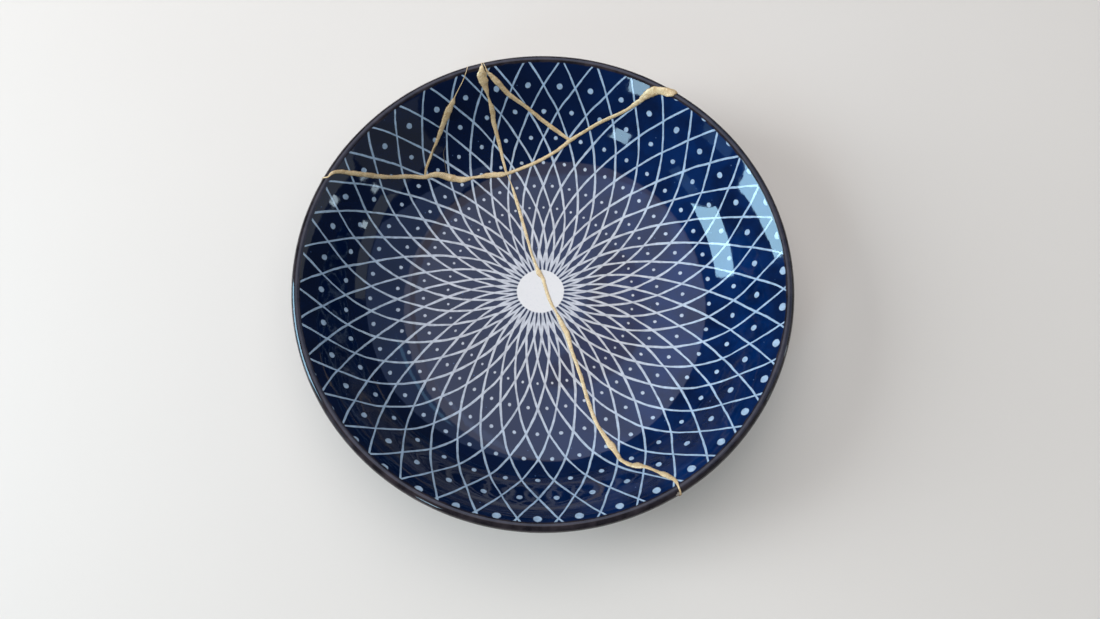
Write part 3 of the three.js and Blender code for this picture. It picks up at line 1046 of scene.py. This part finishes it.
@dataclass
class MendedBowl:
    """The bowl's six shards, cut from one turned bowl."""

    section: BowlSection
    glaze: bpy.types.Material
    clay: bpy.types.Material
    sides: int = 288
    break_gap: float = 0.3 * MM
    glaze_swell: float = 0.09 * MM
    swell_fineness: float = 55.0
    chip_radius: float = 1.4 * MM
    chip_bearing: float = -60.0
    whole: bpy.types.Mesh = field(init=False)
    walls: bpy.types.Mesh = field(init=False)

    def __post_init__(self) -> None:
        """Turn the bowl and raise the walls that part it."""
        self.whole = self._turn()
        self.walls = self._break_walls()

    def _turn(self) -> bpy.types.Mesh:
        """The bowl before it broke."""
        points = [(r, 0.0, z) for r, z in self.section.upper() + self.section.lower()[1:]]
        source = chain_mesh("half_section", np.array(points))
        return run_tree(source, wheel_tree(), {
            "Sides": self.sides,
            "Glaze Swell": self.glaze_swell,
            "Swell Fineness": self.swell_fineness,
            "Foot Stays Below": 4 * MM,
            "Glaze": self.glaze,
        })

    def _break_walls(self) -> bpy.types.Mesh:
        """Upright walls along the breaks, joined where they fork."""
        joined = None
        for crack in BREAKS:
            wall = self._wall(crack)
            joined = wall if joined is None else combine(joined, wall, Join.UNION)
        return joined

    def _wall(self, crack: Break) -> bpy.types.Mesh:
        """One thin upright wall along a break, taller than the bowl."""
        plan = crack.plan(0.6)[:, :2]
        along = np.gradient(plan, axis=0)
        along /= np.linalg.norm(along, axis=1, keepdims=True)
        left = np.stack([-along[:, 1], along[:, 0]], 1) * self.break_gap / 2
        outline = np.concatenate([plan + left, (plan - left)[::-1]])
        shape = bmesh.new()
        low, high = -10 * MM, self.section.height + 10 * MM
        foot = [shape.verts.new((x, y, low)) for x, y in outline]
        top = [shape.verts.new((x, y, high)) for x, y in outline]
        count, half = len(outline), len(plan)
        for i in range(count):
            j = (i + 1) % count
            shape.faces.new((foot[i], foot[j], top[j], top[i]))
        for i in range(half - 1):
            j = count - 1 - i
            shape.faces.new((foot[i], foot[i + 1], foot[j - 1], foot[j]))
            shape.faces.new((top[j], top[j - 1], top[i + 1], top[i]))
        mesh = bpy.data.meshes.new(f"wall_{crack.name}")
        mesh.materials.append(self.clay)
        bmesh.ops.recalc_face_normals(shape, faces=shape.faces[:])
        shape.to_mesh(mesh)
        shape.free()
        return mesh

    def _chip(self) -> bpy.types.Mesh:
        """The small uneven nick in the lip where the long break leaves it."""
        angle = math.radians(self.chip_bearing)
        reach = self.section.rim_radius
        shape = bmesh.new()
        bmesh.ops.create_icosphere(shape, subdivisions=3, radius=self.chip_radius)
        for vert in shape.verts:
            flake = 0.16 * math.sin(5100 * vert.co.x + 1.3) * math.cos(4300 * vert.co.y + 0.4)
            vert.co *= 1.0 + flake
            vert.co += Vector((reach * math.cos(angle), reach * math.sin(angle),
                               self.section.height))
        mesh = bpy.data.meshes.new("chip")
        mesh.materials.append(self.clay)
        shape.to_mesh(mesh)
        shape.free()
        return mesh

    def shards(self) -> dict[str, bpy.types.Object]:
        """Part the bowl along its breaks.

        Returns:
            The shards, by the CAD node that each one stands for.
        """
        self.whole.materials.append(self.clay)
        nicked = combine(self.whole, self._chip(), Join.CUT)
        parted = combine(nicked, self.walls, Join.CUT)
        islands = split_islands(parted)
        made = {}
        for node, (x, y) in PLAN_POINTS.items():
            island = min(islands, key=lambda mesh: nearest_in_plan(mesh, x * MM, y * MM))
            name = node.replace("shard_", "glazed_shard_")
            made[node] = self._dress(island, name)
        return made

    def _dress(self, mesh: bpy.types.Mesh, name: str) -> bpy.types.Object:
        """Give one shard its edges and its object, and let it stand for its CAD node."""
        mesh.name = name
        mesh.set_sharp_from_angle(angle=math.radians(40))
        shard = bpy.data.objects.new(name, mesh)
        bpy.context.scene.collection.objects.link(shard)
        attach(shard, "root")
        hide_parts(name.replace("glazed_", ""))
        return shard


def split_islands(mesh: bpy.types.Mesh) -> list[bpy.types.Mesh]:
    """Split a mesh into its loose parts.

    Args:
        mesh: The mesh.

    Returns:
        One mesh for each part, with the same materials.
    """
    shape = bmesh.new()
    shape.from_mesh(mesh)
    shape.verts.ensure_lookup_table()
    unseen = set(range(len(shape.verts)))
    groups = []
    while unseen:
        front, group = [unseen.pop()], set()
        while front:
            at = front.pop()
            group.add(at)
            for edge in shape.verts[at].link_edges:
                other = edge.other_vert(shape.verts[at]).index
                if other in unseen:
                    unseen.discard(other)
                    front.append(other)
        groups.append(group)
    parts = []
    for group in sorted(groups, key=len, reverse=True):
        if len(group) < 100:
            continue
        part = shape.copy()
        part.verts.ensure_lookup_table()
        away = [v for v in part.verts if v.index not in group]
        bmesh.ops.delete(part, geom=away, context="VERTS")
        piece = bpy.data.meshes.new("island")
        for material in mesh.materials:
            piece.materials.append(material)
        part.to_mesh(piece)
        part.free()
        parts.append(piece)
    shape.free()
    return parts


def nearest_in_plan(mesh: bpy.types.Mesh, x: float, y: float) -> float:
    """Distance in plan from a point to a mesh's nearest vertex."""
    coordinates = np.empty(len(mesh.vertices) * 3)
    mesh.vertices.foreach_get("co", coordinates)
    coordinates = coordinates.reshape(-1, 3)
    return float(np.hypot(coordinates[:, 0] - x, coordinates[:, 1] - y).min())


@dataclass
class GoldSeams:
    """The lacquer: a web in the breaks, with a bead over each break on both sides of the bowl."""

    bowl: MendedBowl
    gold: bpy.types.Material
    step: float = 0.28 * MM
    section_points: int = 16
    sink: float = 0.14 * MM
    least_lift: float = 0.10 * MM
    lift_share: float = 0.17
    lap: float = 1.2 * MM
    ground_clearance: float = 0.9 * MM

    def piece(self) -> bpy.types.Object:
        """Make the lacquer.

        Returns:
            The one branching piece, standing for its CAD node.
        """
        tree = brushed_bead_tree()
        joined = combine(self.bowl.walls, self.bowl.whole, Join.SHARE)
        for path in self._paths():
            bead = run_tree(path, tree, {
                "Section Points": self.section_points,
                "Step": self.step,
                "Sink": self.sink,
                "Edge Wobble": 0.8,
                "Wobble Fineness": 480.0,
                "Ridge Height": 0.9,
                "Ridge Fineness": 1500.0,
                "Gold": self.gold,
            })
            joined = combine(joined, bead, Join.UNION)
        joined.name = "gold_seams"
        joined.materials.clear()
        joined.materials.append(self.gold)
        joined.polygons.foreach_set("material_index", [0] * len(joined.polygons))
        joined.set_sharp_from_angle(angle=math.radians(55))
        seams = bpy.data.objects.new("gold_seams", joined)
        bpy.context.scene.collection.objects.link(seams)
        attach(seams, "root")
        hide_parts(GOLD_NODE)
        return seams

    def _paths(self) -> Iterable[bpy.types.Mesh]:
        """Every bead's path with its breadths, as chains on the bowl's surface."""
        for crack in BREAKS:
            plan = crack.plan()
            upper = self._on_surface(plan, Side.UPPER)
            yield self._chain(f"{crack.name}_upper", self._lapped(upper, plan))
            under = plan.copy()
            share = np.linspace(0, 1, len(plan))
            low, high = crack.under
            under[:, 2] = (low + (high - low) * (0.5 + 0.5 * np.sin(share * 23 + 1.7))) * MM
            lower = self._on_surface(under, Side.LOWER)
            for count, run in enumerate(self._above_ground(lower)):
                yield self._chain(f"{crack.name}_lower_{count}", run)
        yield self._chain("hairline", self._on_surface(HAIRLINE.plan(), Side.UPPER))

    def _on_surface(self, plan: np.ndarray, side: Side) -> np.ndarray:
        """Set a plan route on one surface of the bowl.

        Args:
            plan: Rows of x, y and breadth.
            side: Which surface.

        Returns:
            Rows of x, y, z, normal x, y, z and breadth, evenly spaced along the surface.
        """
        points, normals = self.bowl.section.surface(side)
        radii = np.hypot(plan[:, 0], plan[:, 1])
        kept = plan[radii <= points[:, 0].max()]
        radii = np.hypot(kept[:, 0], kept[:, 1])
        z = np.interp(radii, points[:, 0], points[:, 1])
        out, rise = (np.interp(radii, points[:, 0], normals[:, k]) for k in (0, 1))
        rows = np.column_stack([kept[:, :2], z, out * kept[:, 0] / np.maximum(radii, MM),
                                out * kept[:, 1] / np.maximum(radii, MM), rise, kept[:, 2]])
        run = np.concatenate([[0], np.cumsum(np.linalg.norm(np.diff(rows[:, :3], axis=0),
                                                            axis=1))])
        even = np.linspace(0, run[-1], max(8, round(run[-1] / self.step)))
        return np.column_stack([np.interp(even, run, column) for column in rows.T])

    def _lapped(self, upper: np.ndarray, plan: np.ndarray) -> np.ndarray:
        """Carry a path on over the lip a little way down the outside, where it reaches the lip."""
        lower = self._on_surface(plan, Side.LOWER)
        rim = self.bowl.section.rim_radius - 0.2 * MM
        rows = max(2, round(self.lap / self.step))
        start = lower[1:rows][::-1] if np.hypot(*upper[0, :2]) > rim else upper[:0]
        end = lower[-rows:-1][::-1] if np.hypot(*upper[-1, :2]) > rim else upper[:0]
        return np.concatenate([start, upper, end])

    def _above_ground(self, rows: np.ndarray) -> list[np.ndarray]:
        """Part a path where it would pass under the foot ring, which stands on the table."""
        high = rows[:, 2] > self.ground_clearance
        cuts = np.flatnonzero(np.diff(high.astype(int))) + 1
        runs = np.split(rows, cuts)
        return [run for run in runs if run[len(run) // 2, 2] > self.ground_clearance
                and len(run) > 12]

    def _chain(self, name: str, rows: np.ndarray) -> bpy.types.Mesh:
        """A path as a chain that carries its normals, breadths and lifts."""
        mesh = chain_mesh(name, rows[:, :3])
        up = rows[:, 3:6] / np.linalg.norm(rows[:, 3:6], axis=1, keepdims=True)
        breadth = rows[:, 6]
        lift = self.least_lift + self.lift_share * breadth
        for label, kind, values in (("up", "FLOAT_VECTOR", up), ("breadth", "FLOAT", breadth),
                                    ("lift", "FLOAT", lift)):
            attribute = mesh.attributes.new(label, kind, "POINT")
            attribute.data.foreach_set("vector" if kind == "FLOAT_VECTOR" else "value",
                                       values.astype(np.float32).ravel())
        return mesh


@dataclass(frozen=True)
class SoftPanel:
    """A soft light that faces the bowl."""

    name: str
    place: tuple[float, float, float]
    width: float
    height: float
    radiance: float
    colour: tuple[float, float, float] = (1.0, 1.0, 1.0)
    shape: str = "RECTANGLE"
    in_gloss: bool = True
    in_matt: bool = True
    level: bool = False

    def build(self) -> bpy.types.Object:
        """Hang the light, turned towards the bowl."""
        lamp = bpy.data.lights.new(self.name, "AREA")
        lamp.shape = self.shape
        lamp.size, lamp.size_y = self.width, self.height
        area = self.width * self.height * (math.pi / 4 if self.shape == "ELLIPSE" else 1.0)
        lamp.energy = self.radiance * math.pi * area
        lamp.color = self.colour
        light = bpy.data.objects.new(self.name, lamp)
        bpy.context.scene.collection.objects.link(light)
        light.location = self.place
        if not self.level:
            aim = Vector((0, 0, 0.02)) - Vector(self.place)
            light.rotation_euler = aim.to_track_quat("-Z", "Y").to_euler()
        light.visible_glossy = self.in_gloss
        light.visible_diffuse = self.in_matt
        light.visible_camera = False
        return light


@dataclass
class Studio:
    """A plain pale floor under soft light, and the camera that looks down on it."""

    floor_reach: float = 3.0
    floor_colour: tuple[float, ...] = rgba(0.74, 0.72, 0.69)
    camera_place: tuple[float, float, float] = (-0.0016, -0.1102, 0.3540)
    camera_turn: tuple[float, float, float] = (16.935, -0.7605, 0.0)
    lens: float = 25.98

    def build(self) -> None:
        """Set out the floor, the lights and the camera."""
        self._floor()
        self._world()
        self._lights()
        self._camera()

    def _floor(self) -> None:
        """A plain floor, staged, so that it isn't part of the bowl."""
        shape = bmesh.new()
        bmesh.ops.create_grid(shape, x_segments=1, y_segments=1, size=self.floor_reach)
        mesh = bpy.data.meshes.new("floor")
        shape.to_mesh(mesh)
        shape.free()
        floor = bpy.data.objects.new("floor", mesh)
        bpy.context.scene.collection.objects.link(floor)
        made = bpy.data.materials.new("plain_floor")
        made.use_nodes = True
        g = Graph(made.node_tree)
        surface = made.node_tree.nodes["Principled BSDF"]
        place = g.add("ShaderNodeTexCoord").outputs["Object"]
        cloudy = g.noise(place, 6.0, 4.0)
        r, g2, b, _ = self.floor_colour
        g.feed(surface.inputs["Base Color"],
               g.blend(cloudy, rgba(r, g2, b), rgba(r * 0.96, g2 * 0.96, b * 0.96)))
        surface.inputs["Roughness"].default_value = 0.7
        mesh.materials.append(made)
        floor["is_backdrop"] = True

    def _world(self) -> None:
        """A dim, even surround."""
        world = bpy.data.worlds.new("dim_surround")
        world.use_nodes = True
        back = world.node_tree.nodes["Background"]
        back.inputs["Color"].default_value = rgba(0.86, 0.92, 1.0)
        back.inputs["Strength"].default_value = 0.06
        bpy.context.scene.world = world

    def _lights(self) -> None:
        """Soft panels: a tall one to the left, a dim broad one overhead, and small ones."""
        panels = (
            SoftPanel("left_daylight", (-1.35, 0.0, 0.72), 0.62, 0.95, 11.0, (0.93, 0.97, 1.0),
                      in_gloss=False),
            SoftPanel("left_window", (-1.31, 0.07, 0.68), 0.64, 0.70, 15.0, (0.44, 0.76, 1.0),
                      in_matt=False),
            SoftPanel("front_window", (-0.76, -1.11, 0.86), 0.17, 0.40, 11.0, (0.52, 0.80, 1.0)),
            SoftPanel("side_window", (-1.24, -0.54, 0.72), 0.30, 0.36, 1.0, (0.30, 0.62, 1.0),
                      in_matt=False),
            SoftPanel("right_glow", (1.26, 0.10, 0.62), 0.90, 0.40, 0.6, (0.88, 0.96, 0.92),
                      in_matt=False),
            SoftPanel("right_lamp", (1.20, -0.03, 0.34), 0.06, 0.12, 9.0, (0.70, 0.88, 1.0),
                      in_matt=False),
            SoftPanel("low_lamp", (1.16, -0.29, 0.25), 0.05, 0.06, 7.0, (0.70, 0.88, 1.0),
                      in_matt=False),
            SoftPanel("right_corner", (0.98, -0.54, 0.48), 0.54, 0.60, 0.23, (0.92, 1.0, 0.95),
                      in_matt=False),
            SoftPanel("ceiling", (-0.25, 1.03, 1.20), 1.16, 2.24, 0.92, (1.0, 0.88, 0.86),
                      shape="ELLIPSE", level=True),
            SoftPanel("ceiling_middle", (-0.29, 1.02, 1.18), 1.02, 2.0, 1.0, (0.26, 0.50, 1.0),
                      shape="ELLIPSE", in_matt=False, level=True),
            SoftPanel("far_wall", (0.95, 1.00, 1.22), 1.58, 2.20, 0.80, (0.42, 0.58, 1.0),
                      in_matt=False, level=True),
            SoftPanel("far_strip", (0.41, 0.86, 1.19), 0.07, 0.56, 1.6, (0.30, 0.66, 1.0),
                      in_matt=False, level=True),
            SoftPanel("right_daylight", (1.15, 0.45, 0.80), 0.6, 0.6, 0.9, (1.0, 0.90, 0.74),
                      in_gloss=False),
            SoftPanel("fill", (0.0, 0.0, 2.0), 2.6, 2.6, 1.3, (1.0, 0.99, 0.97),
                      in_gloss=False),
        )
        for panel in panels:
            panel.build()

    def _camera(self) -> None:
        """The camera, steeply above the bowl's near side."""
        lens = bpy.data.cameras.new("camera")
        lens.lens = self.lens
        lens.sensor_width = 36.0
        lens.clip_start, lens.clip_end = 0.01, 20.0
        camera = bpy.data.objects.new("camera", lens)
        bpy.context.scene.collection.objects.link(camera)
        camera.location = self.camera_place
        camera.rotation_euler = [math.radians(angle) for angle in self.camera_turn]
        bpy.context.scene.camera = camera


def write_sizes() -> None:
    """Work out the CAD box and the visual model's box; nothing is kept."""
    boxes = {"cad": cad_box, "visual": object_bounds()}
    {name: [list(corner) for corner in box] for name, box in boxes.items()}


def report(piece: bpy.types.Object) -> None:
    """Log one finished piece."""
    piece.data.calc_loop_triangles()
    size = " x ".join(f"{length / MM:.1f}" for length in piece.dimensions)
    log.info("%s: %d triangles, %s mm", piece.name, len(piece.data.loop_triangles), size)


def main() -> None:
    """Build the bowl's pieces in order, then the studio round them."""
    logging.basicConfig(level=logging.INFO, format="%(name)s: %(message)s")
    section = BowlSection.from_frame()
    bowl = MendedBowl(section, NetGlaze().material(section), BrokenClay().material())
    seams = GoldSeams(bowl, PowderGold().material(section)).piece()
    for shard in bowl.shards().values():
        report(shard)
    report(seams)
    Studio().build()
    bpy.context.scene.view_settings.view_transform = "Standard"
    write_sizes()


if __name__ == "__main__":
    main()
